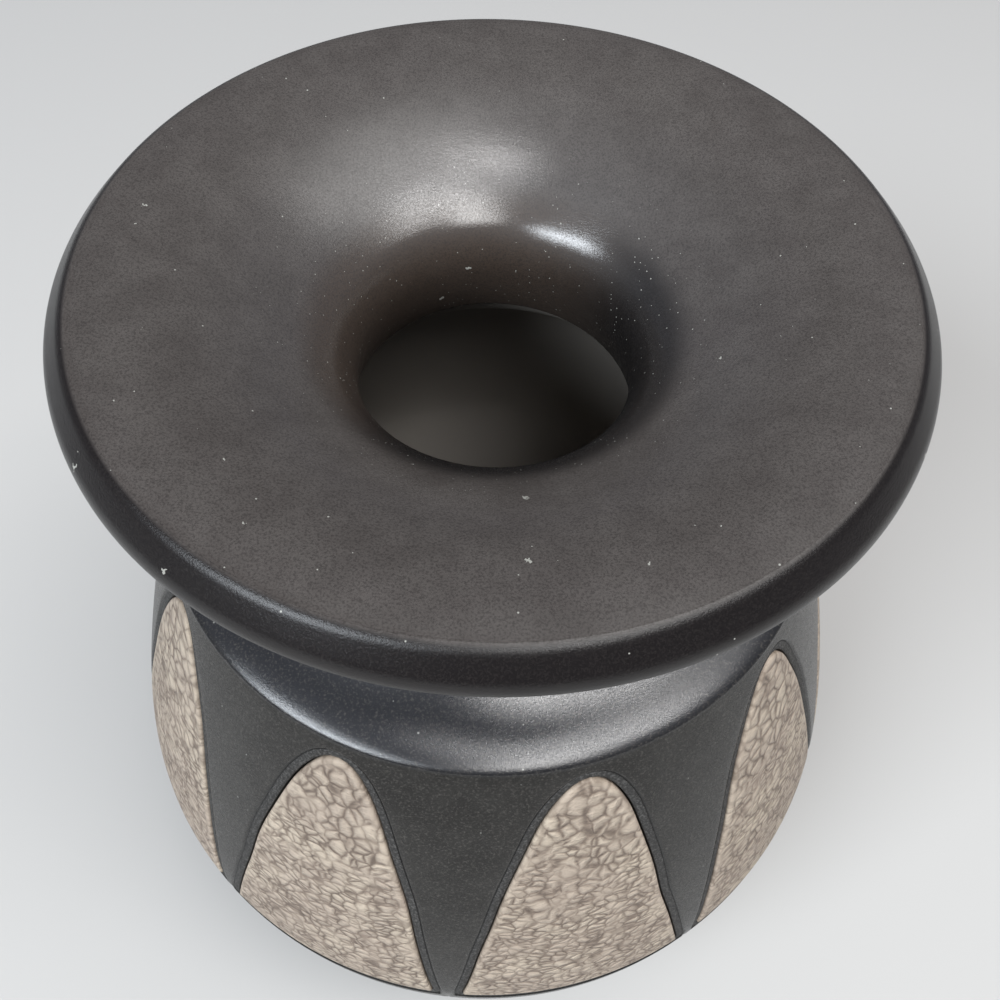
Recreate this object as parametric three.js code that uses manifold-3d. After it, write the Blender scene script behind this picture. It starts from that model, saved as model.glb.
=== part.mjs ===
// Bud vase of smoke-fired clay: a pear-shaped body, a flared rim with its throat luted on top,
// and a row of tall arched panels inlaid in shallow pockets around the wall.
// Millimetres, +Z up. The origin is on the axis, at the level of the foot.

import * as THREE from 'three';
import { mergeVertices } from 'three/addons/utils/BufferGeometryUtils.js';
import Module from 'manifold-3d';

// Body, from the foot upwards
const FOOT_RADIUS = 30;
const BELLY_RADIUS = 56.2;
const BELLY_HEIGHT = 31.8;
const BELLY_LEAD = 8;
const WALL_HEIGHT = 53.3;
const RIDGE_RADIUS = 41.3;
const RIDGE_ROUND = 0.5;
const RIDGE_EASE = 4;
const SHOULDER_SLOPE_DEGREES = 16.5;
const SHOULDER_RISE = 12.9;
const NECK_RADIUS = 26;
const WALL_THICKNESS = 5;
const FLOOR_THICKNESS = 6;

// Rim, from the seat on the body upwards
const SPIGOT_RADIUS = 22;
const SPIGOT_DEPTH = 1.8;
const LIP_ROUND = 1;
const NECK_LAND = 2;
const NECK_RISE = 22;
const THROAT_RADIUS = 15.5;
const THROAT_DEPTH = 16.7;
const THROAT_ROUND = 8;
const THROAT_FLARE = 18;
const FUNNEL_SLOPE_DEGREES = 40;
const RIM_RADIUS = 45;
const RIM_EDGE = 3.6;
const RIM_NOSE = 3;

// Panels, in their pockets in the wall
const PANEL_COUNT = 10;
const PANEL_TOP_DROP = 3.1;
const PANEL_FOOT_RISE = 0.8;
const PANEL_THICKNESS = 0.9;
const ARCH_STRAIGHTNESS = 0.3;
const GROOVE_WIDTH = 1.4;
const FIRST_PANEL_DEGREES = 13.6;
const SPACING_SWAY_DEGREES = 3;

// Clearances left for the lute and under each panel
const LUTE_GAP = 0.3;
const BED_GAP = 0.3;

// Fineness of the facets
const TURN_STEPS = 48;
const WALL_STEPS = 12;
const ARC_STEPS = 8;
const ROUND_STEPS = 4;
const PANEL_ROWS = 9;
const PANEL_COLUMNS = 8;
const CUT_OVERRUN = 2;

// Colour and roughness of each finish
const BURNISHED_CLAY = { color: 0x3b3a39, roughness: 0.38 };
const BURNISHED_RIM = { color: 0x474441, roughness: 0.5 };
const CRACKLE = { color: 0xb3a696, roughness: 0.6 };

// Levels that the sizes add up to
const ridgeZ = BELLY_HEIGHT + WALL_HEIGHT;
const seatZ = ridgeZ + SHOULDER_RISE;
const lipZ = seatZ - SPIGOT_DEPTH;
const rimTopZ = seatZ + NECK_RISE;
const panelFootZ = BELLY_HEIGHT + PANEL_FOOT_RISE;
const panelTopZ = ridgeZ - PANEL_TOP_DROP;

const wasm = await Module();
wasm.setup();

// Points along an upright ellipse between two angles, which are given in quarter turns
function ellipsePoints(centreR, centreZ, halfWidth, halfHeight, from, to, steps) {
  const points = [];
  for (let i = 0; i <= steps; i += 1) {
    const angle = (from + ((to - from) * i) / steps) * (Math.PI / 2);
    const r = centreR + halfWidth * Math.cos(angle);
    const z = centreZ + halfHeight * Math.sin(angle);
    points.push(new THREE.Vector2(r, z));
  }
  return points;
}

// The wall is a parabola: upright at the belly (share 0) and leaning in at the ridge (share 1)
function wallPoint(share) {
  const r = BELLY_RADIUS - (BELLY_RADIUS - RIDGE_RADIUS) * share * share;
  const z = BELLY_HEIGHT + 2 * BELLY_LEAD * share + (WALL_HEIGHT - 2 * BELLY_LEAD) * share * share;
  return new THREE.Vector2(r, z);
}

function wallShare(z) {
  const bend = WALL_HEIGHT - 2 * BELLY_LEAD;
  return (Math.sqrt(BELLY_LEAD * BELLY_LEAD + bend * (z - BELLY_HEIGHT)) - BELLY_LEAD) / bend;
}

// Outside radius of the body at a height below the ridge
function outerRadius(z) {
  if (z >= BELLY_HEIGHT) {
    return wallPoint(wallShare(z)).x;
  }
  const drop = (BELLY_HEIGHT - z) / BELLY_HEIGHT;
  return FOOT_RADIUS + (BELLY_RADIUS - FOOT_RADIUS) * Math.sqrt(1 - drop * drop);
}

// Merges shared corners and drops the empty triangles that a lathe leaves on its axis
function closedGeometry(geometry) {
  geometry.deleteAttribute('normal');
  geometry.deleteAttribute('uv');
  const merged = mergeVertices(geometry);
  const corners = merged.index.array;
  const kept = [];
  for (let i = 0; i < corners.length; i += 3) {
    const [a, b, c] = corners.slice(i, i + 3);
    if (a !== b && b !== c && c !== a) {
      kept.push(a, b, c);
    }
  }
  merged.setIndex(kept);
  return merged;
}

function turned(profile) {
  const geometry = new THREE.LatheGeometry(profile, TURN_STEPS);
  geometry.rotateX(Math.PI / 2);
  return closedGeometry(geometry);
}

function solidOf(geometry) {
  return new wasm.Manifold(
    new wasm.Mesh({
      numProp: 3,
      vertProperties: new Float32Array(geometry.attributes.position.array),
      triVerts: new Uint32Array(geometry.index.array),
    }),
  );
}

function geometryOf(solid) {
  const mesh = solid.getMesh();
  const geometry = new THREE.BufferGeometry();
  geometry.setAttribute('position', new THREE.BufferAttribute(mesh.vertProperties, 3));
  geometry.setIndex(new THREE.BufferAttribute(mesh.triVerts, 1));
  return geometry;
}

// The pot below the seat: outside from the foot up, then down the inside to the floor
function bodyProfile() {
  const crest = wallPoint(1);
  const lean = new THREE.Vector2(RIDGE_RADIUS - BELLY_RADIUS, WALL_HEIGHT - BELLY_LEAD).normalize();
  const crestCorner = crest.clone().addScaledVector(lean, RIDGE_ROUND);
  const slope = THREE.MathUtils.degToRad(SHOULDER_SLOPE_DEGREES);
  const coveStart = new THREE.Vector2(-Math.cos(slope), Math.sin(slope)).multiplyScalar(RIDGE_EASE);
  coveStart.add(crestCorner);

  const coveWidth = coveStart.x - NECK_RADIUS;
  const coveBend = new THREE.Vector2(NECK_RADIUS, coveStart.y + coveWidth * Math.tan(slope));
  const neckTop = new THREE.Vector2(NECK_RADIUS, seatZ);
  const ceilingWidth = coveWidth + WALL_THICKNESS;
  const ceilingDrop = seatZ - coveStart.y + WALL_THICKNESS;
  const holeRadius = SPIGOT_RADIUS + LUTE_GAP;
  const ceilingZ = seatZ - ceilingDrop;
  const ceilingShare = wallShare(ceilingZ);
  const ceilingRadius = outerRadius(ceilingZ) - WALL_THICKNESS;
  const quarters = (r) => 3 - Math.asin((coveStart.x - r) / ceilingWidth) / (Math.PI / 2);

  const bowlWidth = BELLY_RADIUS - FOOT_RADIUS;
  const hollowDrop = BELLY_HEIGHT - FLOOR_THICKNESS;
  const points = [new THREE.Vector2(0, 0)];
  points.push(...ellipsePoints(FOOT_RADIUS, BELLY_HEIGHT, bowlWidth, BELLY_HEIGHT, -1, 0, ARC_STEPS));
  for (let i = 1; i < WALL_STEPS; i += 1) {
    points.push(wallPoint(i / WALL_STEPS));
  }
  points.push(...new THREE.QuadraticBezierCurve(crest, crestCorner, coveStart).getPoints(ROUND_STEPS));
  points.push(...new THREE.QuadraticBezierCurve(coveStart, coveBend, neckTop).getPoints(ARC_STEPS).slice(1));
  points.push(new THREE.Vector2(holeRadius, seatZ));
  const ceiling = [coveStart.x, seatZ, ceilingWidth, ceilingDrop];
  points.push(...ellipsePoints(...ceiling, quarters(holeRadius), quarters(ceilingRadius), ARC_STEPS));
  for (let i = ARC_STEPS - 1; i > 0; i -= 1) {
    const onWall = wallPoint((ceilingShare * i) / ARC_STEPS);
    points.push(new THREE.Vector2(onWall.x - WALL_THICKNESS, onWall.y));
  }
  const hollow = [FOOT_RADIUS, BELLY_HEIGHT, bowlWidth - WALL_THICKNESS, hollowDrop];
  points.push(...ellipsePoints(...hollow, 0, -1, ARC_STEPS));
  points.push(new THREE.Vector2(0, FLOOR_THICKNESS));
  return points;
}

// The rim above the seat: up the outside from the lip, over the nose, then down the funnel,
// round the waist of the throat and out again to the lip
function rimProfile() {
  const noseR = RIM_RADIUS - RIM_NOSE;
  const noseZ = rimTopZ - RIM_EDGE / 2;
  const underZ = rimTopZ - RIM_EDGE;
  const landZ = seatZ + NECK_LAND;
  const restZ = seatZ + LUTE_GAP;
  const waistZ = rimTopZ - THROAT_DEPTH;
  const slope = THREE.MathUtils.degToRad(FUNNEL_SLOPE_DEGREES);
  const roundR = THROAT_RADIUS + THROAT_ROUND;
  const funnelStart = new THREE.Vector2(noseR, rimTopZ);
  const funnelEnd = new THREE.Vector2(-Math.sin(slope), Math.cos(slope)).multiplyScalar(THROAT_ROUND);
  funnelEnd.add(new THREE.Vector2(roundR, waistZ));
  const brink = new THREE.Vector2(funnelEnd.x + (rimTopZ - funnelEnd.y) / Math.tan(slope), rimTopZ);
  const flareR = THROAT_RADIUS + THROAT_FLARE;
  const lipTurn = Math.asin((waistZ - lipZ - LIP_ROUND) / (THROAT_FLARE - LIP_ROUND));
  const lipR = flareR - (THROAT_FLARE - LIP_ROUND) * Math.cos(lipTurn);
  const roundFrom = 1 + slope / (Math.PI / 2);
  const lipFrom = 2 + lipTurn / (Math.PI / 2);
  const points = [
    new THREE.Vector2(lipR, lipZ),
    new THREE.Vector2(SPIGOT_RADIUS, lipZ),
    new THREE.Vector2(SPIGOT_RADIUS, restZ),
    new THREE.Vector2(NECK_RADIUS, restZ),
  ];
  points.push(...ellipsePoints(noseR, landZ, noseR - NECK_RADIUS, underZ - landZ, 2, 1, ARC_STEPS));
  points.push(...ellipsePoints(noseR, noseZ, RIM_NOSE, RIM_EDGE / 2, -1, 1, 2 * ROUND_STEPS).slice(1));
  points.push(...new THREE.QuadraticBezierCurve(funnelStart, brink, funnelEnd).getPoints(ARC_STEPS).slice(1));
  const round = [roundR, waistZ, THROAT_ROUND, THROAT_ROUND, roundFrom, 2];
  points.push(...ellipsePoints(...round, ROUND_STEPS).slice(1));
  const flare = [flareR, waistZ, THROAT_FLARE, THROAT_FLARE, 2, lipFrom];
  points.push(...ellipsePoints(...flare, ROUND_STEPS / 2).slice(1));
  const lip = [lipR, lipZ + LIP_ROUND, LIP_ROUND, LIP_ROUND, lipFrom, 3];
  points.push(...ellipsePoints(...lip, ROUND_STEPS - 1).slice(1));
  return points;
}

// Half the width of an arch at each height, from its foot, where the grooves of two arches meet,
// to just under its top: between a parabola and straight sides
function archRows() {
  const footHalf = (Math.PI * outerRadius(panelFootZ)) / PANEL_COUNT - GROOVE_WIDTH;
  const rows = [];
  for (let i = 0; i < PANEL_ROWS; i += 1) {
    const left = 1 - i / PANEL_ROWS;
    const drop = (panelTopZ - panelFootZ) * left * left;
    const spread = Math.sqrt(1 - ARCH_STRAIGHTNESS + ARCH_STRAIGHTNESS * left * left);
    rows.push({ z: panelTopZ - drop, half: footHalf * left * spread });
  }
  return { rows, topZ: panelTopZ };
}

// The same arch with its edge moved out all round by the width of the groove
function grownArch(arch) {
  const edge = [...arch.rows, { z: arch.topZ, half: 0 }];
  const rows = arch.rows.map((row, i) => {
    const before = edge[Math.max(i - 1, 0)];
    const after = edge[i + 1];
    const rise = after.z - before.z;
    const narrowing = before.half - after.half;
    const length = Math.hypot(rise, narrowing);
    return {
      z: row.z + (GROOVE_WIDTH * narrowing) / length,
      half: row.half + (GROOVE_WIDTH * rise) / length,
    };
  });
  rows.unshift({ z: panelFootZ - GROOVE_WIDTH, half: rows[0].half });
  return { rows, topZ: arch.topZ + GROOVE_WIDTH };
}

// A curved plate with the outline of an arch, between two depths measured out from the wall
function archPlate(arch, azimuth, outer, inner) {
  const positions = [];
  const addPoint = (across, z, depth) => {
    const wallR = outerRadius(z);
    const angle = azimuth + across / wallR;
    const r = wallR + depth;
    positions.push(r * Math.sin(angle), -r * Math.cos(angle), z);
  };
  for (const depth of [outer, inner]) {
    for (const row of arch.rows) {
      for (let k = 0; k <= PANEL_COLUMNS; k += 1) {
        addPoint(row.half * ((2 * k) / PANEL_COLUMNS - 1), row.z, depth);
      }
    }
    addPoint(0, arch.topZ, depth);
  }

  const perRow = PANEL_COLUMNS + 1;
  const lastRow = arch.rows.length - 1;
  const apex = arch.rows.length * perRow;
  const layer = apex + 1;
  const triangles = [];
  const addBoth = (a, b, c) => triangles.push(a, b, c, a + layer, c + layer, b + layer);
  for (let i = 0; i < lastRow; i += 1) {
    for (let k = 0; k < PANEL_COLUMNS; k += 1) {
      const a = i * perRow + k;
      addBoth(a, a + 1, a + perRow);
      addBoth(a + 1, a + perRow + 1, a + perRow);
    }
  }
  for (let k = 0; k < PANEL_COLUMNS; k += 1) {
    addBoth(lastRow * perRow + k, lastRow * perRow + k + 1, apex);
  }

  const outline = [];
  for (let k = 0; k < PANEL_COLUMNS; k += 1) {
    outline.push(k);
  }
  for (let i = 0; i <= lastRow; i += 1) {
    outline.push(i * perRow + PANEL_COLUMNS);
  }
  outline.push(apex);
  for (let i = lastRow; i > 0; i -= 1) {
    outline.push(i * perRow);
  }
  outline.forEach((p, i) => {
    const q = outline[(i + 1) % outline.length];
    triangles.push(p, p + layer, q, q, p + layer, q + layer);
  });

  const geometry = new THREE.BufferGeometry();
  geometry.setAttribute('position', new THREE.Float32BufferAttribute(positions, 3));
  geometry.setIndex(triangles);
  return geometry;
}

// The arches were set out by hand: a little wider apart at the front than at the back
function panelAzimuth(index) {
  const step = 360 / PANEL_COUNT;
  const sway = SPACING_SWAY_DEGREES * Math.sin(THREE.MathUtils.degToRad((index + 0.5) * step));
  return THREE.MathUtils.degToRad(FIRST_PANEL_DEGREES + index * step + sway);
}

const vase = new THREE.Group();

function addPiece(name, geometry, finish) {
  geometry.computeVertexNormals();
  const material = new THREE.MeshStandardMaterial({ ...finish, metalness: 0 });
  const piece = new THREE.Mesh(geometry, material);
  piece.name = name;
  vase.add(piece);
}

const panelArch = archRows();
const pocketArch = grownArch(panelArch);
const pocketDepth = PANEL_THICKNESS + BED_GAP;

let body = solidOf(turned(bodyProfile()));
for (let i = 0; i < PANEL_COUNT; i += 1) {
  body = body.subtract(solidOf(archPlate(pocketArch, panelAzimuth(i), CUT_OVERRUN, -pocketDepth)));
}
addPiece('vase_body', geometryOf(body), BURNISHED_CLAY);
addPiece('flared_rim', turned(rimProfile()), BURNISHED_RIM);
for (let i = 0; i < PANEL_COUNT; i += 1) {
  const panel = archPlate(panelArch, panelAzimuth(i), 0, -PANEL_THICKNESS);
  addPiece(`crackle_panel_${i + 1}`, panel, CRACKLE);
}

export default vase;
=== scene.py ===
import math

import bmesh
import bpy
from mathutils import Matrix, Vector


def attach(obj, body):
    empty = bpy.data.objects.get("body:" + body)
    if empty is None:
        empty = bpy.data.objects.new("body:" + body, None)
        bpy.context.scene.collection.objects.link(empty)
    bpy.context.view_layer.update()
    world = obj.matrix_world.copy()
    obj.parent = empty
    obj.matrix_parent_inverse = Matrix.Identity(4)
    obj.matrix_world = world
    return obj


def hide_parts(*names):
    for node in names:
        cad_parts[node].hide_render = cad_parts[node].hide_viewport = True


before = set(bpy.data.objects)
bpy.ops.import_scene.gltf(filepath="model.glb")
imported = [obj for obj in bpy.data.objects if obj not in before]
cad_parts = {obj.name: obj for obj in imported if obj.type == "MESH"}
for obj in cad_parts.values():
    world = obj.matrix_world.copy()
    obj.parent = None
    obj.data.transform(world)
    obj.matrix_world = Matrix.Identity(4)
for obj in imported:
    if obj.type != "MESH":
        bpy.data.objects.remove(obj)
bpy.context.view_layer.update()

mm = 0.001
scene = bpy.context.scene
scene.view_settings.view_transform = "Standard"


# Small helpers for profiles, all in millimetres

def ovalRun(r, z, width, height, start, end, steps):
    turns = [(start + (end - start) * k / steps) * math.pi / 2 for k in range(steps + 1)]
    return [(r + width * math.cos(t), z + height * math.sin(t)) for t in turns]


def curvedRun(start, corner, end, steps):
    start, corner, end = Vector(start), Vector(corner), Vector(end)
    run = []
    for k in range(steps + 1):
        t = k / steps
        run.append(tuple(start * (1 - t) ** 2 + corner * 2 * t * (1 - t) + end * t * t))
    return run


def evenRun(points, count):
    lengths = [0.0]
    for a, b in zip(points, points[1:]):
        lengths.append(lengths[-1] + (Vector(b) - Vector(a)).length)
    run = []
    k = 0
    least = 1e-9
    for n in range(count):
        want = lengths[-1] * n / (count - 1)
        while k < len(points) - 2 and lengths[k + 1] < want:
            k += 1
        share = (want - lengths[k]) / max(lengths[k + 1] - lengths[k], least)
        run.append(tuple(Vector(points[k]).lerp(Vector(points[k + 1]), share)))
    return run


# The pot's outside, shared by the pot and the panels let into it

pot = {
    "footRadius": 30.0,
    "bellyRadius": 56.2,
    "bellyHeight": 31.8,
    "bellyLead": 8.0,
    "wallHeight": 53.3,
    "ridgeRadius": 41.3,
    "ridgeRound": 0.5,
    "ridgeEase": 4.0,
    "shoulderSlope": math.radians(16.5),
    "seatHeight": 98.0,
    "neckRadius": 26.0,
    "holeRadius": 22.3,
    "wallThick": 5.0,
    "floorThick": 6.0,
    "skirtHeight": 25.0,      # where the arched part of the wall hands over to the bowl
    "tongueCuts": 8,
    "holeEase": 0.4,
    "ridgeSteps": 16,
    "neckSteps": 28,
    "ceilingSteps": 10,
    "wallSteps": 16,
    "hollowSteps": 14,
    "bowlSteps": 22,
    "floorRings": (0.6, 0.2),      # shares of the foot's radius
    "footRings": (0.7, 0.3),
    "mergeWithin": 0.004,
    "levelWithin": 0.02,
    "sliverArea": 1e-5,
    "sharpDegrees": 50,
}
ridgeHeight = pot["bellyHeight"] + pot["wallHeight"]


def wallShare(z):
    lead = pot["bellyLead"]
    bend = pot["wallHeight"] - 2 * lead
    return (math.sqrt(lead * lead + bend * (z - pot["bellyHeight"])) - lead) / bend


def wallRadius(z):
    if z >= pot["bellyHeight"]:
        return pot["bellyRadius"] - (pot["bellyRadius"] - pot["ridgeRadius"]) * wallShare(z) ** 2
    drop = (pot["bellyHeight"] - z) / pot["bellyHeight"]
    return pot["footRadius"] + (pot["bellyRadius"] - pot["footRadius"]) * math.sqrt(1 - drop * drop)


def onWall(angle, z, depth):
    probe = 0.01
    slope = (wallRadius(z + probe) - wallRadius(z - probe)) / (2 * probe)
    reach = depth / math.hypot(1, slope)
    r = wallRadius(z) + reach
    return Vector((r * math.sin(angle), -r * math.cos(angle), z - reach * slope))


# The arches, with the small unevenness of a line cut by hand

arch = {
    "count": 10,
    "firstDegrees": 13.6,
    "swayDegrees": 3.0,
    "footHeight": 32.6,
    "topHeight": 82.0,
    "footHalf": 16.26,
    "straightness": 0.3,      # 0 for a parabola, 1 for a triangle
    "curveSteps": 400,
    "sidePoints": 56,
    "footPoints": 30,
    "cornerShare": 0.84,      # height share at which a sector's top corner is tied to the arch
    "spineFoot": 9.0,
    "spineTop": 13.0,
    "lean": [1.9, 1.2, 3.6, 1.6, 0.4, 0.5, -0.4, 0.2, -0.3, 0.9],
    "wander": 0.16,
    "waves": [(7.0, 1.0, 1.0), (17.0, 2.1, 0.5)],      # turns over the height, share of the phase, size
    "panelPhase": 1.7,
    "sidePhase": 2.3,
    "evenUntil": 0.2,         # height share below which the line is even
    "fadeIn": 0.2,
    "fadeOut": 0.15,
}


def archAzimuth(index):
    step = 360 / arch["count"]
    sway = arch["swayDegrees"] * math.sin(math.radians((index + 0.5) * step))
    return math.radians(arch["firstDegrees"] + index * step + sway)


def handLine(index, side, rise):
    above = rise - arch["evenUntil"]
    fade = min(max(above / arch["fadeIn"], 0), 1) * min((1 - rise) / arch["fadeOut"], 1)
    phase = arch["panelPhase"] * index + arch["sidePhase"] * side
    waves = [size * math.sin(turns * rise + share * phase) for turns, share, size in arch["waves"]]
    return arch["wander"] * fade * sum(waves) + arch["lean"][index] * max(above, 0) ** 2


def archLoop(index):
    foot, top = arch["footHeight"], arch["topHeight"]
    straight, steps = arch["straightness"], arch["curveSteps"]
    drops = [(k / steps) ** 2 for k in range(steps, -1, -1)]
    halves = [arch["footHalf"] * math.sqrt(d * (1 - straight + straight * d)) for d in drops]
    curve = [(half, top - (top - foot) * d) for half, d in zip(halves, drops)]
    side = evenRun(curve, arch["sidePoints"] + 1)
    loop = []
    for half, z in side:
        loop.append((-half + handLine(index, -1, (z - foot) / (top - foot)), z))
    for half, z in reversed(side[:-1]):
        loop.append((half + handLine(index, 1, (z - foot) / (top - foot)), z))
    count = arch["footPoints"]
    loop += [(arch["footHalf"] * (1 - 2 * k / count), foot) for k in range(1, count)]
    return loop


def outwards(loop):
    ways = []
    for k in range(len(loop)):
        along = (Vector(loop[(k + 1) % len(loop)]) - Vector(loop[k - 1])).normalized()
        ways.append(Vector((-along.y, along.x)))
    return ways


def spinePoint(place):
    low = arch["footHeight"] + arch["spineFoot"]
    high = arch["topHeight"] - arch["spineTop"]
    return Vector((0, min(max(place[1], low), high)))


# Loops of vertices that are extruded ring by ring, each vertex keeping its number in the loop

def firstRing(bm, order, places):
    verts = [bm.verts.new(place) for place in places]
    for k, vert in enumerate(verts):
        vert[order] = k
    return [bm.edges.new((verts[k - 1], verts[k])) for k in range(len(verts))]


def nextRing(bm, order, edges, places):
    made = bmesh.ops.extrude_edge_only(bm, edges=edges)["geom"]
    for vert in made:
        if isinstance(vert, bmesh.types.BMVert):
            vert.co = places[vert[order]]
    return [part for part in made if isinstance(part, bmesh.types.BMEdge)]


def ringVerts(edges):
    return {vert for edge in edges for vert in edge.verts}


def finishedPiece(bm, name, finish, nodes, sharpDegrees):
    bmesh.ops.scale(bm, vec=(mm, mm, mm), verts=bm.verts)
    bmesh.ops.recalc_face_normals(bm, faces=bm.faces)
    for face in bm.faces:
        face.smooth = True
    mesh = bpy.data.meshes.new(name)
    bm.to_mesh(mesh)
    bm.free()
    mesh.set_sharp_from_angle(angle=math.radians(sharpDegrees))
    mesh.materials.append(finish)
    piece = bpy.data.objects.new(name, mesh)
    scene.collection.objects.link(piece)
    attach(piece, "root")
    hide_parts(*nodes)
    print(name, len(mesh.polygons), "faces")


# Node helpers

def add(tree, kind, inputs=None, **settings):
    made = tree.nodes.new("ShaderNode" + kind)
    for name, value in settings.items():
        setattr(made, name, value)
    for name, value in (inputs or {}).items():
        if isinstance(value, bpy.types.NodeSocket):
            tree.links.new(value, made.inputs[name])
        else:
            made.inputs[name].default_value = value
    return made


def sums(tree, operation, a, b=0.0):
    return add(tree, "Math", {0: a, 1: b}, operation=operation).outputs[0]


def vectorSums(tree, operation, a, b):
    return add(tree, "VectorMath", {0: a, 1: b}, operation=operation).outputs[0]


def cloud(tree, place, scale, detail=2.0, rough=0.5):
    return add(tree, "TexNoise", {"Vector": place, "Scale": scale, "Detail": detail, "Roughness": rough})


def eased(tree, value, low, high, toLow=0.0, toHigh=1.0):
    inputs = {"Value": value, "From Min": low, "From Max": high, "To Min": toLow, "To Max": toHigh}
    return add(tree, "MapRange", inputs, interpolation_type="SMOOTHSTEP").outputs[0]


def patch(tree, place, look):
    return eased(tree, cloud(tree, place, *look["noise"]).outputs[0], *look["range"])


def shaken(tree, place, noise, reach):
    drift = vectorSums(tree, "SUBTRACT", cloud(tree, place, *noise).outputs["Color"], (0.5, 0.5, 0.5))
    return vectorSums(tree, "ADD", place, vectorSums(tree, "MULTIPLY", drift, reach))


def tinted(tree, share, a, b):
    return add(tree, "Mix", {0: share, 6: a, 7: b}, data_type="RGBA").outputs[2]


def marked(tree, name):
    return add(tree, "Attribute", attribute_name=name).outputs["Fac"]


def newFinish(name):
    finish = bpy.data.materials.new(name)
    finish.use_nodes = True
    tree = finish.node_tree
    return finish, tree, tree.nodes["Principled BSDF"]


def inMillimetres(tree):
    spot = add(tree, "TexCoord").outputs["Object"]
    return add(tree, "Mapping", {"Vector": spot, "Scale": (1 / mm, 1 / mm, 1 / mm)}).outputs[0]


def bumped(tree, height, strength, depth, below=None):
    inputs = {"Height": height, "Strength": strength, "Distance": depth}
    if below:
        inputs["Normal"] = below
    return add(tree, "Bump", inputs).outputs[0]


def specks(tree, place, scale, least, size):      # cells to the millimetre, least pick, largest size
    spots = add(tree, "TexVoronoi", {"Vector": place, "Scale": scale}, feature="F1")
    pick = add(tree, "SeparateColor", {0: spots.outputs["Color"]}).outputs[0]
    most = 1.05
    reach = eased(tree, pick, least, most, 0.0, size)      # only the cells with a high pick hold a speck
    return sums(tree, "LESS_THAN", spots.outputs["Distance"], reach)


# A noise is its scale to the millimetre, detail and roughness; a bump is its strength and depth in metres

# Smoke-black clay of the pot: satin wall, burnished shoulder with a painted bluish reflection in its tint,
# gritty cut grooves edged with painted shade, inside turning black with painted shade towards the front and
# right

clay = {
    "wall": (0.0095, 0.0085, 0.0073, 1),
    "wallPale": (0.018, 0.0168, 0.015, 1),
    # black burnished clay; its bluish tint is a painted reflection of the bluish lamps and world
    "shoulder": (0.013, 0.014, 0.018, 1),
    "groove": (0.036, 0.035, 0.034, 1),
    "groovePale": (0.125, 0.123, 0.118, 1),
    # near-black body clay on the groove's edges, darkened there as painted shade of the cut
    "grooveShade": (0.008, 0.008, 0.008, 1),
    "dust": (0.085, 0.079, 0.071, 1),
    "inside": (0.42, 0.39, 0.355, 1),
    # painted shade: the inside's colour on its side away from the lamps
    "insideShade": (0.014, 0.012, 0.011, 1),
    "fleck": (0.30, 0.30, 0.28, 1),
    "wallRough": 0.27,
    "shoulderRough": 0.45,
    "grooveRough": 0.65,
    "burnish": 0.12,          # roughness of the burnished coat on the shoulder
    "ior": 1.27,
    "coatIor": 1.78,
    "shoulderFrom": (ridgeHeight - 0.6, ridgeHeight + 0.9),
    "shadeFrom": (-6, 16),    # millimetres towards the front and right over which the inside turns black with painted shade
    "mottle": {"noise": (0.16, 4, 0.6), "range": (0.35, 0.7)},
    "dusting": {"noise": (3.2, 4, 0.7), "range": (0.50, 0.68, 0.0, 0.7)},
    "sheen": {"noise": (2.5, 3, 0.6), "range": (0.3, 0.7, -0.04, 0.05)},
    "flecks": (0.7, 0.75, 0.10),
    "gritNoise": (3.4, 3, 0.65),
    "gritRange": (0.45, 0.68),
    "gritBump": (0.6, 0.0004),
    "grainNoise": (6.0, 3, 0.7),
    "grainBump": (0.3, 0.17),      # on the wall and on the shoulder
    "grainDepth": 0.0001,
    "grainGloss": (0.38, 0.6, 0.5, 1.0),
}


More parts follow.
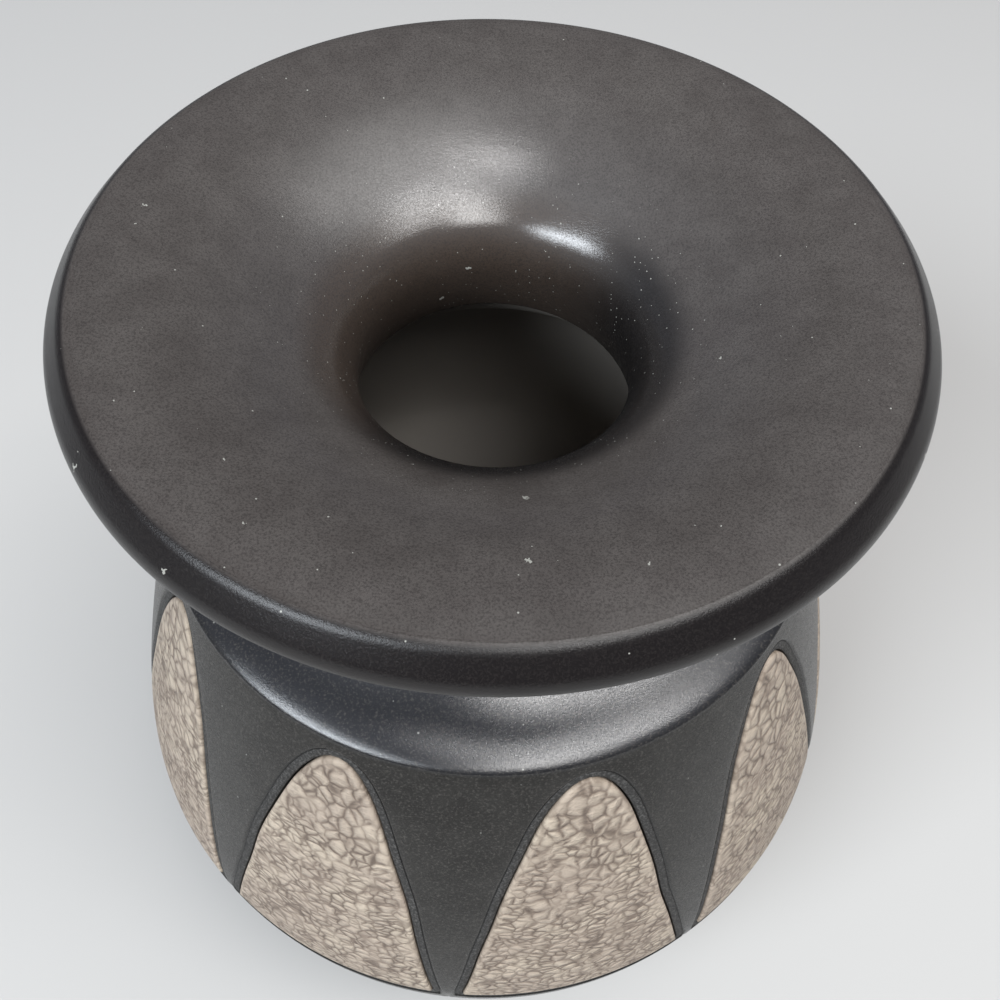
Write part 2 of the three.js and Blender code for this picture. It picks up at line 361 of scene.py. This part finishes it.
def clayFinish():
    finish, tree, shader = newFinish("smokedClay")
    place = inMillimetres(tree)
    parts = add(tree, "SeparateXYZ", {0: place})
    groove, grooveShade, inside = [marked(tree, name) for name in ("groove", "grooveShade", "inside")]
    shoulder = eased(tree, parts.outputs[2], *clay["shoulderFrom"])

    wall = tinted(tree, patch(tree, place, clay["mottle"]), clay["wall"], clay["wallPale"])
    base = tinted(tree, shoulder, wall, clay["shoulder"])
    base = tinted(tree, patch(tree, place, clay["dusting"]), base, clay["dust"])
    base = tinted(tree, specks(tree, place, *clay["flecks"]), base, clay["fleck"])
    grit = cloud(tree, place, *clay["gritNoise"]).outputs[0]
    gritColour = tinted(tree, eased(tree, grit, *clay["gritRange"]), clay["groove"], clay["groovePale"])
    base = tinted(tree, groove, base, gritColour)
    # painted shade: the groove's edges and the crack beside the panel are painted near black
    base = tinted(tree, grooveShade, base, clay["grooveShade"])
    # painted shade: the inside turns near black towards the front and right, away from the light that
    # enters through the throat
    turned = sums(tree, "SUBTRACT", parts.outputs[0], parts.outputs[1])
    shadedSide = tinted(tree, eased(tree, turned, *clay["shadeFrom"]), clay["inside"], clay["insideShade"])
    base = tinted(tree, inside, base, shadedSide)
    tree.links.new(base, shader.inputs["Base Color"])

    rough = eased(tree, shoulder, 0, 1, clay["wallRough"], clay["shoulderRough"])
    rough = sums(tree, "ADD", rough, patch(tree, place, clay["sheen"]))
    dull = sums(tree, "MAXIMUM", groove, inside)
    rough = eased(tree, dull, 0, 1, rough, clay["grooveRough"])
    tree.links.new(rough, shader.inputs["Roughness"])

    grain = cloud(tree, place, *clay["grainNoise"]).outputs[0]
    grained = bumped(tree, grain, eased(tree, shoulder, 0, 1, *clay["grainBump"]), clay["grainDepth"])
    coarse = sums(tree, "MULTIPLY", grit, groove)
    tree.links.new(bumped(tree, coarse, *clay["gritBump"], grained), shader.inputs["Normal"])
    shine = sums(tree, "MULTIPLY", shoulder, eased(tree, inside, 0, 1, 1, 0))
    shine = sums(tree, "MULTIPLY", shine, eased(tree, grain, *clay["grainGloss"]))
    tree.links.new(shine, shader.inputs["Coat Weight"])
    tree.links.new(grained, shader.inputs["Coat Normal"])
    shader.inputs["Coat Roughness"].default_value = clay["burnish"]
    shader.inputs["Coat IOR"].default_value = clay["coatIor"]
    shader.inputs["IOR"].default_value = clay["ior"]
    return finish


# Smoke-black clay of the rim: warm satin top, nose face darkened with painted shade, burnished funnel,
# burnished neck with a painted bluish reflection in its tint, brown throat turning black with painted shade
# towards the front and right

rimClay = {
    "top": (0.065, 0.0575, 0.0535, 1),
    "topPale": (0.083, 0.0745, 0.0695, 1),
    # painted shade: the nose's steep face is given a far darker colour than the top
    "nose": (0.007, 0.0055, 0.0055, 1),
    # the same black as the shoulder, with the same painted bluish reflection in its tint
    "neck": (0.013, 0.014, 0.018, 1),
    "throat": (0.050, 0.037, 0.029, 1),
    # painted shade: the throat's colour on its side towards the front and right
    "paintedShade": (0.008, 0.007, 0.007, 1),
    "fleck": (0.34, 0.34, 0.31, 1),
    "dust": (0.020, 0.017, 0.016, 1),
    "noseRough": 0.27,
    "burnish": 0.14,          # roughness of the burnished coat in the funnel and on the neck
    "ior": 1.42,
    "coatIor": 1.75,
    "funnelFrom": (34.0, 23.0),      # radii over which each part's finish takes over
    "throatFrom": (22.0, 18.6),
    "noseShadeFrom": (42.0, 42.5),
    "noseGlossFrom": (41.2, 41.9),
    "fineDotsFrom": (27.0, 21.0),
    "shineFrom": (106.5, 109.5),     # heights in the throat over which the burnish sets in
    "shadeFrom": (-12, 10),   # millimetres towards the front and right over which the throat turns black with painted shade
    "mottle": {"noise": (0.22, 5, 0.65), "range": (0.32, 0.7)},
    "dusting": {"noise": (4.6, 3, 0.7), "range": (0.42, 0.66, 0.0, 0.6)},
    "satin": {"noise": (0.6, 3, 0.6), "range": (0.3, 0.7, 0.47, 0.57)},
    "raggedNoise": (2.2, 2),
    "raggedReach": (1.1, 1.1, 1.1),
    "flecks": (0.3, 0.66, 0.085),
    "dots": (0.8, 0.6, 0.085),
    "fineDots": (1.7, 0.2, 0.125),
    "fleckBump": (0.3, 0.0002),
    "grainNoise": (5.0, 3, 0.7),
    "grainBump": (0.3, 0.16),        # on the top and in the funnel
    "grainDepth": 0.0001,
    "grainGloss": (0.38, 0.6, 0.5, 1.0),
    "turningNoise": (1.3, 3, 0.6),
    "turningStretch": (0.03, 0.03, 0),
    "turningBump": (0.04, 0.0002),
}


def rimFinish():
    finish, tree, shader = newFinish("smokedRim")
    place = inMillimetres(tree)
    parts = add(tree, "SeparateXYZ", {0: place})
    flat = add(tree, "CombineXYZ", {0: parts.outputs[0], 1: parts.outputs[1]}).outputs[0]
    radius = add(tree, "VectorMath", {0: flat}, operation="LENGTH").outputs["Value"]
    funnel = eased(tree, radius, *rimClay["funnelFrom"])
    under = marked(tree, "under")

    base = tinted(tree, patch(tree, place, rimClay["mottle"]), rimClay["top"], rimClay["topPale"])
    # painted shade: the throat's brown turns near black towards the front and right, away from the lamps
    turned = sums(tree, "SUBTRACT", parts.outputs[0], parts.outputs[1])
    shadedSide = tinted(tree, eased(tree, turned, *rimClay["shadeFrom"]), rimClay["throat"], rimClay["paintedShade"])
    base = tinted(tree, eased(tree, radius, *rimClay["throatFrom"]), base, shadedSide)
    # painted shade: the nose face is darkened in colour
    base = tinted(tree, eased(tree, radius, *rimClay["noseShadeFrom"]), base, rimClay["nose"])
    base = tinted(tree, under, base, rimClay["neck"])
    base = tinted(tree, patch(tree, place, rimClay["dusting"]), base, rimClay["dust"])

    ragged = shaken(tree, place, rimClay["raggedNoise"], rimClay["raggedReach"])
    speck = specks(tree, ragged, *rimClay["flecks"])
    speck = sums(tree, "MAXIMUM", speck, specks(tree, place, *rimClay["dots"]))
    fine = eased(tree, radius, *rimClay["fineDotsFrom"])
    fine = sums(tree, "MULTIPLY", specks(tree, place, *rimClay["fineDots"]), fine)
    speck = sums(tree, "MAXIMUM", speck, fine)
    base = tinted(tree, speck, base, rimClay["fleck"])
    tree.links.new(base, shader.inputs["Base Color"])

    rough = patch(tree, place, rimClay["satin"])
    rough = eased(tree, radius, *rimClay["noseGlossFrom"], rough, rimClay["noseRough"])
    tree.links.new(rough, shader.inputs["Roughness"])

    grain = cloud(tree, place, *rimClay["grainNoise"]).outputs[0]
    grained = bumped(tree, grain, eased(tree, funnel, 0, 1, *rimClay["grainBump"]), rimClay["grainDepth"])
    slow = vectorSums(tree, "MULTIPLY", flat, rimClay["turningStretch"])
    turning = vectorSums(tree, "ADD", slow, add(tree, "CombineXYZ", {2: radius}).outputs[0])
    rings = cloud(tree, turning, *rimClay["turningNoise"]).outputs[0]
    grained = bumped(tree, rings, *rimClay["turningBump"], grained)
    tree.links.new(bumped(tree, speck, *rimClay["fleckBump"], grained), shader.inputs["Normal"])
    shine = sums(tree, "MULTIPLY", funnel, eased(tree, parts.outputs[2], *rimClay["shineFrom"]))
    shine = sums(tree, "MAXIMUM", shine, under)
    shine = sums(tree, "MULTIPLY", shine, eased(tree, grain, *rimClay["grainGloss"]))
    tree.links.new(shine, shader.inputs["Coat Weight"])
    tree.links.new(grained, shader.inputs["Coat Normal"])
    shader.inputs["Coat Roughness"].default_value = rimClay["burnish"]
    shader.inputs["Coat IOR"].default_value = rimClay["coatIor"]
    shader.inputs["IOR"].default_value = rimClay["ior"]
    return finish


# Tan clay with a net of fine brown smoke lines

crackle = {
    "tan": (0.49, 0.405, 0.325, 1),
    "pale": (0.58, 0.492, 0.388, 1),
    "valley": (0.205, 0.15, 0.112, 1),
    "line": (0.11, 0.078, 0.057, 1),
    "bigCells": (0.56, 0.43, 1),       # cells to the millimetre, across and up, near the top
    "smallCells": (0.60, 0.86, 1),     # and lower down
    "unevenCells": 0.9,
    "bigFrom": (56, 70),               # heights over which the cells grow
    "bigSway": {"noise": (0.12,), "range": (0.3, 0.7, -9, 9)},
    "slowDrift": ((0.2, 2), (2.4, 2.4, 0)),      # noise, reach
    "quickDrift": ((0.8, 2), (0.45, 0.45, 0)),
    "press": {"noise": (0.3, 2), "range": (0.3, 0.62, 0.45, 1.0)},
    "edgePress": (0.0, 0.7, 0.6, 1.0),
    "broken": {"noise": (0.8, 2), "range": (0.35, 0.6, 0.3, 1.0)},
    "wrinkleStretch": (0.45, 1.9, 1),
    "wrinkleNoise": (1.0, 3, 0.55),
    "mottle": {"noise": (0.09, 3, 0.55), "range": (0.42, 0.66)},
    "valleyWidth": 0.25,               # widths are in cells
    "lineWidth": 0.11,
    "dipWidth": 0.4,
    "wrinkleWidth": 0.05,
    "valleyShare": 0.85,
    "wrinkleShare": 0.3,
    "lineShare": 0.8,
    "wrinkleDip": 0.25,
    "bump": (0.9, 0.0003),
    "rough": 0.55,
    "ior": 1.5,
}


def crackleFinish():
    finish, tree, shader = newFinish("smokedCrackle")
    flat = add(tree, "Attribute", attribute_name="flat").outputs["Vector"]
    inward = marked(tree, "inward")
    height = add(tree, "SeparateXYZ", {0: flat}).outputs[1]

    def edgeDistance(place, size):
        place = vectorSums(tree, "MULTIPLY", place, crackle[size])
        inputs = {"Vector": place, "Scale": 1.0, "Randomness": crackle["unevenCells"]}
        return add(tree, "TexVoronoi", inputs, feature="DISTANCE_TO_EDGE").outputs[0]

    warped = shaken(tree, flat, *crackle["slowDrift"])
    warped = shaken(tree, warped, *crackle["quickDrift"])
    upper = sums(tree, "ADD", height, patch(tree, flat, crackle["bigSway"]))
    upper = eased(tree, upper, *crackle["bigFrom"])
    small, big = edgeDistance(warped, "smallCells"), edgeDistance(warped, "bigCells")
    cells = add(tree, "Mix", {0: upper, 2: small, 3: big}).outputs[0]
    press = patch(tree, flat, crackle["press"])
    press = sums(tree, "MULTIPLY", press, eased(tree, inward, *crackle["edgePress"]))
    valley = eased(tree, cells, crackle["valleyWidth"], 0.0)
    lines = eased(tree, cells, crackle["lineWidth"], 0.0)
    lines = sums(tree, "MULTIPLY", lines, patch(tree, flat, crackle["broken"]))
    stretched = vectorSums(tree, "MULTIPLY", warped, crackle["wrinkleStretch"])
    creased = cloud(tree, stretched, *crackle["wrinkleNoise"]).outputs[0]
    creased = sums(tree, "ABSOLUTE", sums(tree, "SUBTRACT", creased, 0.5))
    wrinkles = eased(tree, creased, crackle["wrinkleWidth"], 0.0)

    base = tinted(tree, patch(tree, flat, crackle["mottle"]), crackle["tan"], crackle["pale"])
    shades = [(valley, "valleyShare", "valley"), (wrinkles, "wrinkleShare", "valley"),
              (lines, "lineShare", "line")]
    for mask, share, colour in shades:
        amount = sums(tree, "MULTIPLY", sums(tree, "MULTIPLY", mask, press), crackle[share])
        base = tinted(tree, amount, base, crackle[colour])
    tree.links.new(base, shader.inputs["Base Color"])

    dips = eased(tree, cells, crackle["dipWidth"], 0.0)
    dips = sums(tree, "ADD", dips, sums(tree, "MULTIPLY", wrinkles, crackle["wrinkleDip"]))
    pillows = sums(tree, "SUBTRACT", 1.0, sums(tree, "MULTIPLY", dips, press))
    tree.links.new(bumped(tree, pillows, *crackle["bump"]), shader.inputs["Normal"])
    shader.inputs["Roughness"].default_value = crackle["rough"]
    shader.inputs["IOR"].default_value = crackle["ior"]
    return finish


# The pot: ten arched sectors of wall with cut grooves, then the shoulder, inside and bowl run on from them

groove = {
    # distance out from the panel's edge, depth below the wall, share of grit, share of painted shade
    "section": [(0.05, -1.2, 0, 1), (0.16, -1.0, 0, 1), (0.24, -0.48, 0.3, 0.7), (0.36, -0.32, 1, 0),
                (0.70, -0.22, 1, 0), (1.05, -0.17, 1, 0), (1.36, -0.16, 1, 0), (1.48, -0.23, 0.3, 0.8),
                (1.58, -0.18, 0, 0.9), (1.70, -0.03, 0, 0.3), (1.85, 0, 0, 0)],
    "bedSteps": 4,
}


def grooveAt(distance):
    section = groove["section"]
    for a, b in zip(section, section[1:]):
        if distance <= b[0]:
            share = max((distance - a[0]) / (b[0] - a[0]), 0)
            return [a[k] + (b[k] - a[k]) * share for k in (1, 2, 3)]
    return section[-1][1:]


def sectorSide(loop, ring, numbers, limit):
    foot, top = arch["footHeight"], arch["topHeight"]
    touch = 1e-6
    free = next(n for n in range(1, len(numbers)) if abs(ring[numbers[n]][0] - limit) > touch)
    tip = ring[numbers[free - 1]][1]
    low = loop[numbers[free - 1]][1]
    tie = foot + arch["cornerShare"] * (top - foot)
    edge = {numbers[0]: (limit, pot["skirtHeight"], 0)}
    for n in range(1, len(numbers)):
        k = numbers[n]
        if n < free:
            edge[k] = ring[k]
        elif loop[k][1] < tie:
            edge[k] = (limit, tip + (ridgeHeight - tip) * (loop[k][1] - low) / (tie - low), 0)
        else:
            edge[k] = (limit, ridgeHeight, 0)
            return edge, n


def sectorEdge(loop, ring, left, right):
    last = 2 * arch["sidePoints"]
    edge, corner = sectorSide(loop, ring, range(last + 1), left)
    rightEdge, rightCorner = sectorSide(loop, ring, range(last, -1, -1), right)
    edge.update(rightEdge)
    across = last - corner - rightCorner
    for n in range(1, across):
        edge[corner + n] = (left + (right - left) * n / across, ridgeHeight, 0)
    for k in range(last + 1, len(loop)):
        share = (k - last) / (len(loop) - last)
        edge[k] = (right + (left - right) * share, pot["skirtHeight"], 0)
    return [edge[k] for k in range(len(loop))]


def addSector(bm, order, grit, paintedShade, index):
    loop = archLoop(index)
    ways = outwards(loop)
    here = archAzimuth(index)
    turn = 2 * math.pi
    before = archAzimuth(index - 1) if index else archAzimuth(arch["count"] - 1) - turn
    after = archAzimuth(index + 1) if index < arch["count"] - 1 else archAzimuth(0) + turn
    left, right = (before - here) / 2, (after - here) / 2

    def grooveRing(distance):
        places, shares = [], []
        for place, way in zip(loop, ways):
            spot = Vector(place) + way * distance
            radius = wallRadius(spot.y)
            angle = min(max(spot.x / radius, left), right)
            depth, *share = grooveAt(distance - abs(spot.x - angle * radius))
            places.append((angle, spot.y, depth))
            shares.append(share)
        return places, shares

    edges = None
    for station in groove["section"]:
        places, shares = grooveRing(station[0])
        if edges is None:
            edges = inner = firstRing(bm, order, places)
        else:
            edges = nextRing(bm, order, edges, places)
        for vert in ringVerts(edges):
            vert[grit], vert[paintedShade] = shares[vert[order]]
    brim = ringVerts(edges)
    edges = nextRing(bm, order, edges, sectorEdge(loop, places, left, right))
    rail = ringVerts(edges)
    for vert in rail:
        if vert.co.z < 0:
            vert[grit], vert[paintedShade] = shares[vert[order]]
    spokes = {e for v in brim for e in v.link_edges if e.other_vert(v) in rail}
    bmesh.ops.subdivide_edges(bm, edges=list(spokes), cuts=pot["tongueCuts"], use_grid_fill=True)

    edges = inner
    bed = groove["section"][0][1]
    for step in range(1, groove["bedSteps"] + 1):
        places = []
        for place in loop:
            spot = Vector(place).lerp(spinePoint(place), step / groove["bedSteps"])
            places.append((spot.x / wallRadius(spot.y), spot.y, bed))
        edges = nextRing(bm, order, edges, places)
    for vert in bm.verts:
        if vert[order] >= 0:
            vert.co = onWall(here + vert.co.x, vert.co.y, vert.co.z)
            vert[order] = -1


def openLoop(bm, height):
    within = pot["levelWithin"]
    return [e for e in bm.edges if e.is_boundary and all(abs(v.co.z - height) < within for v in e.verts)]


def runOn(bm, edges, profile, mark=None):
    for r, z in profile:
        made = bmesh.ops.extrude_edge_only(bm, edges=edges)["geom"]
        edges = [part for part in made if isinstance(part, bmesh.types.BMEdge)]
        for vert in ringVerts(edges):
            angle = math.atan2(vert.co.x, -vert.co.y)
            vert.co = (r * math.sin(angle), -r * math.cos(angle), z)
            if mark:
                vert[mark] = 1.0
    return edges


def closePole(bm, edges, z):
    made = bmesh.ops.extrude_edge_only(bm, edges=edges)["geom"]
    verts = [part for part in made if isinstance(part, bmesh.types.BMVert)]
    bmesh.ops.pointmerge(bm, verts=verts, merge_co=(0, 0, z))


def shoulderAndInside():
    crest = Vector((pot["ridgeRadius"], ridgeHeight))
    lean = Vector((pot["ridgeRadius"] - pot["bellyRadius"], pot["wallHeight"] - pot["bellyLead"]))
    corner = crest + lean.normalized() * pot["ridgeRound"]
    slope = pot["shoulderSlope"]
    cove = corner + Vector((-math.cos(slope), math.sin(slope))) * pot["ridgeEase"]
    seat, thick = pot["seatHeight"], pot["wallThick"]
    width, drop = cove.x - pot["neckRadius"], seat - cove.y
    ceiling = (cove.x, seat, width + thick, drop + thick)
    ceilingZ = seat - drop - thick

    def quarters(r):
        return 3 - math.asin((cove.x - r) / (width + thick)) / (math.pi / 2)

    hole, ease = pot["holeRadius"], pot["holeEase"]
    neck = Vector((pot["neckRadius"], seat))
    bend = Vector((neck.x, cove.y + width * math.tan(slope)))
    outside = curvedRun(crest, corner, cove, pot["ridgeSteps"])[1:]
    outside += curvedRun(cove, bend, neck, pot["neckSteps"])[1:]
    outside += [(hole + ease, seat), (hole, seat - ease)]

    ceilingRadius = wallRadius(ceilingZ) - thick
    inside = ovalRun(*ceiling, quarters(hole), quarters(ceilingRadius), pot["ceilingSteps"])
    top = wallShare(ceilingZ)
    for k in range(pot["wallSteps"] - 1, 0, -1):
        share = top * k / pot["wallSteps"]
        z = pot["bellyHeight"] + 2 * pot["bellyLead"] * share
        z += (pot["wallHeight"] - 2 * pot["bellyLead"]) * share ** 2
        inside.append((wallRadius(z) - thick, z))
    foot, belly, floor = pot["footRadius"], pot["bellyHeight"], pot["floorThick"]
    hollow = (foot, belly, pot["bellyRadius"] - foot - thick, belly - floor)
    inside += ovalRun(*hollow, 0, -1, pot["hollowSteps"])
    inside += [(foot * share, floor) for share in pot["floorRings"]]
    return outside, inside


def makePot():
    bm = bmesh.new()
    order = bm.verts.layers.int.new("order")
    grit = bm.verts.layers.float.new("groove")
    paintedShade = bm.verts.layers.float.new("grooveShade")
    within = bm.verts.layers.float.new("inside")
    for index in range(arch["count"]):
        addSector(bm, order, grit, paintedShade, index)
    bmesh.ops.remove_doubles(bm, verts=bm.verts, dist=pot["mergeWithin"])
    slivers = [face for face in bm.faces if face.calc_area() < pot["sliverArea"]]
    bmesh.ops.delete(bm, geom=slivers, context="FACES_ONLY")
    bmesh.ops.delete(bm, geom=[edge for edge in bm.edges if edge.is_wire], context="EDGES")
    for vert in ringVerts(openLoop(bm, pot["skirtHeight"])):
        vert[grit] = vert[paintedShade] = 0.0      # the bowl below takes its finish from here
    outside, inside = shoulderAndInside()
    edges = runOn(bm, openLoop(bm, ridgeHeight), outside)
    closePole(bm, runOn(bm, edges, inside, within), pot["floorThick"])
    foot, belly = pot["footRadius"], pot["bellyHeight"]
    start = math.asin(1 - pot["skirtHeight"] / belly) / (math.pi / 2)
    bowl = ovalRun(foot, belly, pot["bellyRadius"] - foot, belly, -start, -1, pot["bowlSteps"])[1:]
    bowl += [(foot * share, 0) for share in pot["footRings"]]
    closePole(bm, runOn(bm, openLoop(bm, pot["skirtHeight"]), bowl), 0)
    bm.verts.layers.int.remove(order)
    finishedPiece(bm, "smokedPot", clayFinish(), ["vase_body"], pot["sharpDegrees"])


# The rim: one turned profile

rim = {
    "lipHeight": 96.2,
    "lipRound": 1.0,
    "spigotRadius": 22.0,
    "seatHeight": 98.3,
    "neckRadius": 26.0,
    "landHeight": 100.0,
    "throatRadius": 15.5,
    "throatHeight": 103.3,
    "throatRound": 8.0,       # above the waist
    "throatFlare": 18.0,      # below it
    "funnelSlope": math.radians(40),
    "edgeRadius": 45.0,
    "edgeThick": 3.6,
    "nose": 3.0,
    "faceHeight": 117.3,      # where the sloping face of the nose meets the upright edge
    "faceSlope": math.radians(47),
    "faceRound": 1.0,
    "topHeight": 120.0,
    "turns": 288,
    "neckSteps": 26,
    "underSteps": 12,
    "faceSteps": 7,
    "browSteps": 8,
    "funnelSteps": 40,
    "throatSteps": 12,
    "flareSteps": 8,
    "lipSteps": 7,
    "mergeWithin": 0.002,
    "sharpDegrees": 50,
}


def noseProfile(top, under, inner):
    edge, soft, slope = rim["edgeRadius"], rim["faceRound"], rim["faceSlope"]
    foot = Vector((edge, rim["faceHeight"]))
    head = Vector((edge - (top - foot.y) / math.tan(slope), top))
    along = (head - foot).normalized() * soft
    upright = foot.y - soft
    profile = ovalRun(inner, upright, edge - inner, upright - under, -1, 0, rim["underSteps"])[1:]
    profile += curvedRun((edge, upright), foot, foot + along, rim["faceSteps"])[1:]
    profile += curvedRun(head - along, head, (head.x - soft, top), rim["browSteps"])
    return profile


def rimProfile():
    top, under = rim["topHeight"], rim["topHeight"] - rim["edgeThick"]
    inner, neck, land = rim["edgeRadius"] - rim["nose"], rim["neckRadius"], rim["landHeight"]
    spigot, seat = rim["spigotRadius"], rim["seatHeight"]
    lipZ, lipRound = rim["lipHeight"], rim["lipRound"]
    waist, waistZ, flare = rim["throatRadius"], rim["throatHeight"], rim["throatFlare"]
    turn, slope = rim["throatRound"], rim["funnelSlope"]
    join = Vector((waist + turn - turn * math.sin(slope), waistZ + turn * math.cos(slope)))
    brink = Vector((join.x + (top - join.y) / math.tan(slope), top))
    lipTurn = math.asin((waistZ - lipZ - lipRound) / (flare - lipRound))
    lipR = waist + flare - (flare - lipRound) * math.cos(lipTurn)
    quarter = math.pi / 2
    tilt, lipEnd = 1 + slope / quarter, 2 + lipTurn / quarter
    below = [(spigot, lipZ), (spigot, seat), (neck, seat)]
    below += ovalRun(inner, land, inner - neck, under - land, 2, 1, rim["neckSteps"])
    above = noseProfile(top, under, inner)
    above += curvedRun((inner, top), brink, join, rim["funnelSteps"])
    above += ovalRun(waist + turn, waistZ, turn, turn, tilt, 2, rim["throatSteps"])[1:]
    above += ovalRun(waist + flare, waistZ, flare, flare, 2, lipEnd, rim["flareSteps"])[1:]
    above += ovalRun(lipR, lipZ + lipRound, lipRound, lipRound, lipEnd, 3, rim["lipSteps"])[1:]
    return below, above


def makeRim():
    bm = bmesh.new()
    under = bm.verts.layers.float.new("under")
    below, above = rimProfile()
    verts = [bm.verts.new((r, 0, z)) for r, z in below + above]
    for vert in verts[:len(below)]:
        vert[under] = 1.0
    edges = [bm.edges.new((verts[k - 1], verts[k])) for k in range(len(verts))]
    bmesh.ops.spin(bm, geom=verts + edges, cent=(0, 0, 0), axis=(0, 0, 1), angle=2 * math.pi,
                   steps=rim["turns"], use_merge=True)
    bmesh.ops.remove_doubles(bm, verts=bm.verts, dist=rim["mergeWithin"])
    finishedPiece(bm, "smokedRim", rimFinish(), ["flared_rim"], rim["sharpDegrees"])


# The panels: thin curved plates with a softened edge

panel = {
    # distance out from the outline, depth below the wall, from the face down to the underside
    "edge": [(-0.55, 0.0), (-0.28, -0.02), (-0.10, -0.09), (0.02, -0.22),
             (0.05, -0.42), (0.05, -0.86), (0.0, -0.9)],
    "faceSteps": 12,
    "backSteps": 3,
    "patternShift": 37.0,     # keeps each panel's crackle apart from the next one's
    "mergeWithin": 0.002,
    "dissolveWithin": 0.001,
    "sharpDegrees": 60,
}


def makePanel(index, finish):
    bm = bmesh.new()
    order = bm.verts.layers.int.new("order")
    flat = bm.verts.layers.float_vector.new("flat")
    inward = bm.verts.layers.float.new("inward")
    loop = archLoop(index)
    ways = outwards(loop)
    here = archAzimuth(index)

    def edgeRing(distance, depth):
        spots = [Vector(place) + way * distance for place, way in zip(loop, ways)]
        return [(spot.x / wallRadius(spot.y), spot.y, depth) for spot in spots]

    def faceRing(start, depth, share):
        places = []
        for angle, z, _ in start:
            spot = Vector((angle * wallRadius(z), z))
            spot = spot.lerp(spinePoint(spot), share)
            places.append((spot.x / wallRadius(spot.y), spot.y, depth))
        return places

    rings = [edgeRing(*station) for station in panel["edge"]]
    front = edges = firstRing(bm, order, rings[0])
    for ring in rings[1:]:
        edges = nextRing(bm, order, edges, ring)
    underside = panel["edge"][-1][1]
    for step in range(1, panel["backSteps"] + 1):
        edges = nextRing(bm, order, edges, faceRing(rings[-1], underside, step / panel["backSteps"]))
    edges = front
    margin = -panel["edge"][0][0]
    for step in range(1, panel["faceSteps"] + 1):
        share = step / panel["faceSteps"]
        edges = nextRing(bm, order, edges, faceRing(rings[0], 0.0, share))
        for vert in ringVerts(edges):
            start = rings[0][vert[order]]
            spot = Vector((start[0] * wallRadius(start[1]), start[1]))
            vert[inward] = margin + (spinePoint(spot) - spot).length * share
    for vert in bm.verts:
        angle, z, depth = vert.co
        vert[flat] = (angle * wallRadius(z), z, panel["patternShift"] * index)
        vert.co = onWall(here + angle, z, depth)
    bmesh.ops.remove_doubles(bm, verts=bm.verts, dist=panel["mergeWithin"])
    bmesh.ops.dissolve_degenerate(bm, edges=bm.edges, dist=panel["dissolveWithin"])
    bm.verts.layers.int.remove(order)
    number = index + 1
    nodes = [f"crackle_panel_{number}"]
    finishedPiece(bm, f"cracklePanel{number}", finish, nodes, panel["sharpDegrees"])


makePot()
makeRim()
crackleLook = crackleFinish()
for index in range(arch["count"]):
    makePanel(index, crackleLook)


# Floor, light and camera

studio = {
    "floorReach": 4.0,
    "floorCells": 8,
    "floor": (0.55, 0.546, 0.533, 1),
    "floorRough": 0.8,
    "world": (0.20, 0.205, 0.23, 1),
    "ceiling": 1.1,
    # place to the right and back, width, depth, turn in degrees, brightness, colour; all face straight down
    "lamps": {
        "ceilingBounce": (0.49, 0.12, 0.92, 0.65, 0, 1.8, (1, 0.985, 0.96)),
        "rightWindowHigh": (0.29, -0.175, 0.86, 0.10, 16.5, 12, (1, 0.99, 0.98)),
        "rightWindowLow": (0.44, -0.37, 0.84, 0.13, 28, 12, (1, 0.99, 0.98)),
        "frontWindow": (0.20, -0.66, 0.40, 0.30, 12, 8.2, (1, 0.99, 0.98)),
        "leftWindow": (-0.92, -0.82, 0.85, 0.70, -45, 16, (0.88, 0.94, 1)),
    },
}


def makeFloor():
    bm = bmesh.new()
    cells = studio["floorCells"]
    bmesh.ops.create_grid(bm, x_segments=cells, y_segments=cells, size=studio["floorReach"])
    mesh = bpy.data.meshes.new("paleFloor")
    bm.to_mesh(mesh)
    bm.free()
    finish, _, shader = newFinish("paleFloor")
    shader.inputs["Base Color"].default_value = studio["floor"]
    shader.inputs["Roughness"].default_value = studio["floorRough"]
    mesh.materials.append(finish)
    floor = bpy.data.objects.new("paleFloor", mesh)
    scene.collection.objects.link(floor)


def makeLamps():
    for name, (across, back, width, depth, turn, bright, colour) in studio["lamps"].items():
        lamp = bpy.data.lights.new(name, "AREA")
        lamp.shape = "RECTANGLE"
        lamp.size, lamp.size_y = width, depth
        lamp.energy = bright * math.pi * width * depth
        lamp.color = colour
        holder = bpy.data.objects.new(name, lamp)
        holder.location = (across, back, studio["ceiling"])
        holder.rotation_euler = (0, 0, math.radians(turn))
        scene.collection.objects.link(holder)
    world = bpy.data.worlds.new("studio")
    world.use_nodes = True
    world.node_tree.nodes["Background"].inputs["Color"].default_value = studio["world"]
    scene.world = world


view = {
    "place": (0, -0.075143, 0.190741),
    "right": (0.99960767, 0.01698789, 0.0222694),
    "up": (-0.02641124, 0.83639452, 0.54749123),
    "back": (-0.00932529, -0.5478646, 0.83651505),
    "sensorWidth": 36.0,
    "lens": 35.994,
    "clipStart": 0.005,
}


def makeCamera():
    lens = bpy.data.cameras.new("photoCamera")
    lens.sensor_width = view["sensorWidth"]
    lens.lens = view["lens"]
    lens.clip_start = view["clipStart"]
    camera = bpy.data.objects.new("photoCamera", lens)
    turn = Matrix((view["right"], view["up"], view["back"])).transposed().to_4x4()
    camera.matrix_world = Matrix.Translation(view["place"]) @ turn
    scene.collection.objects.link(camera)
    scene.camera = camera


makeFloor()
makeLamps()
makeCamera()
print("studio ready")
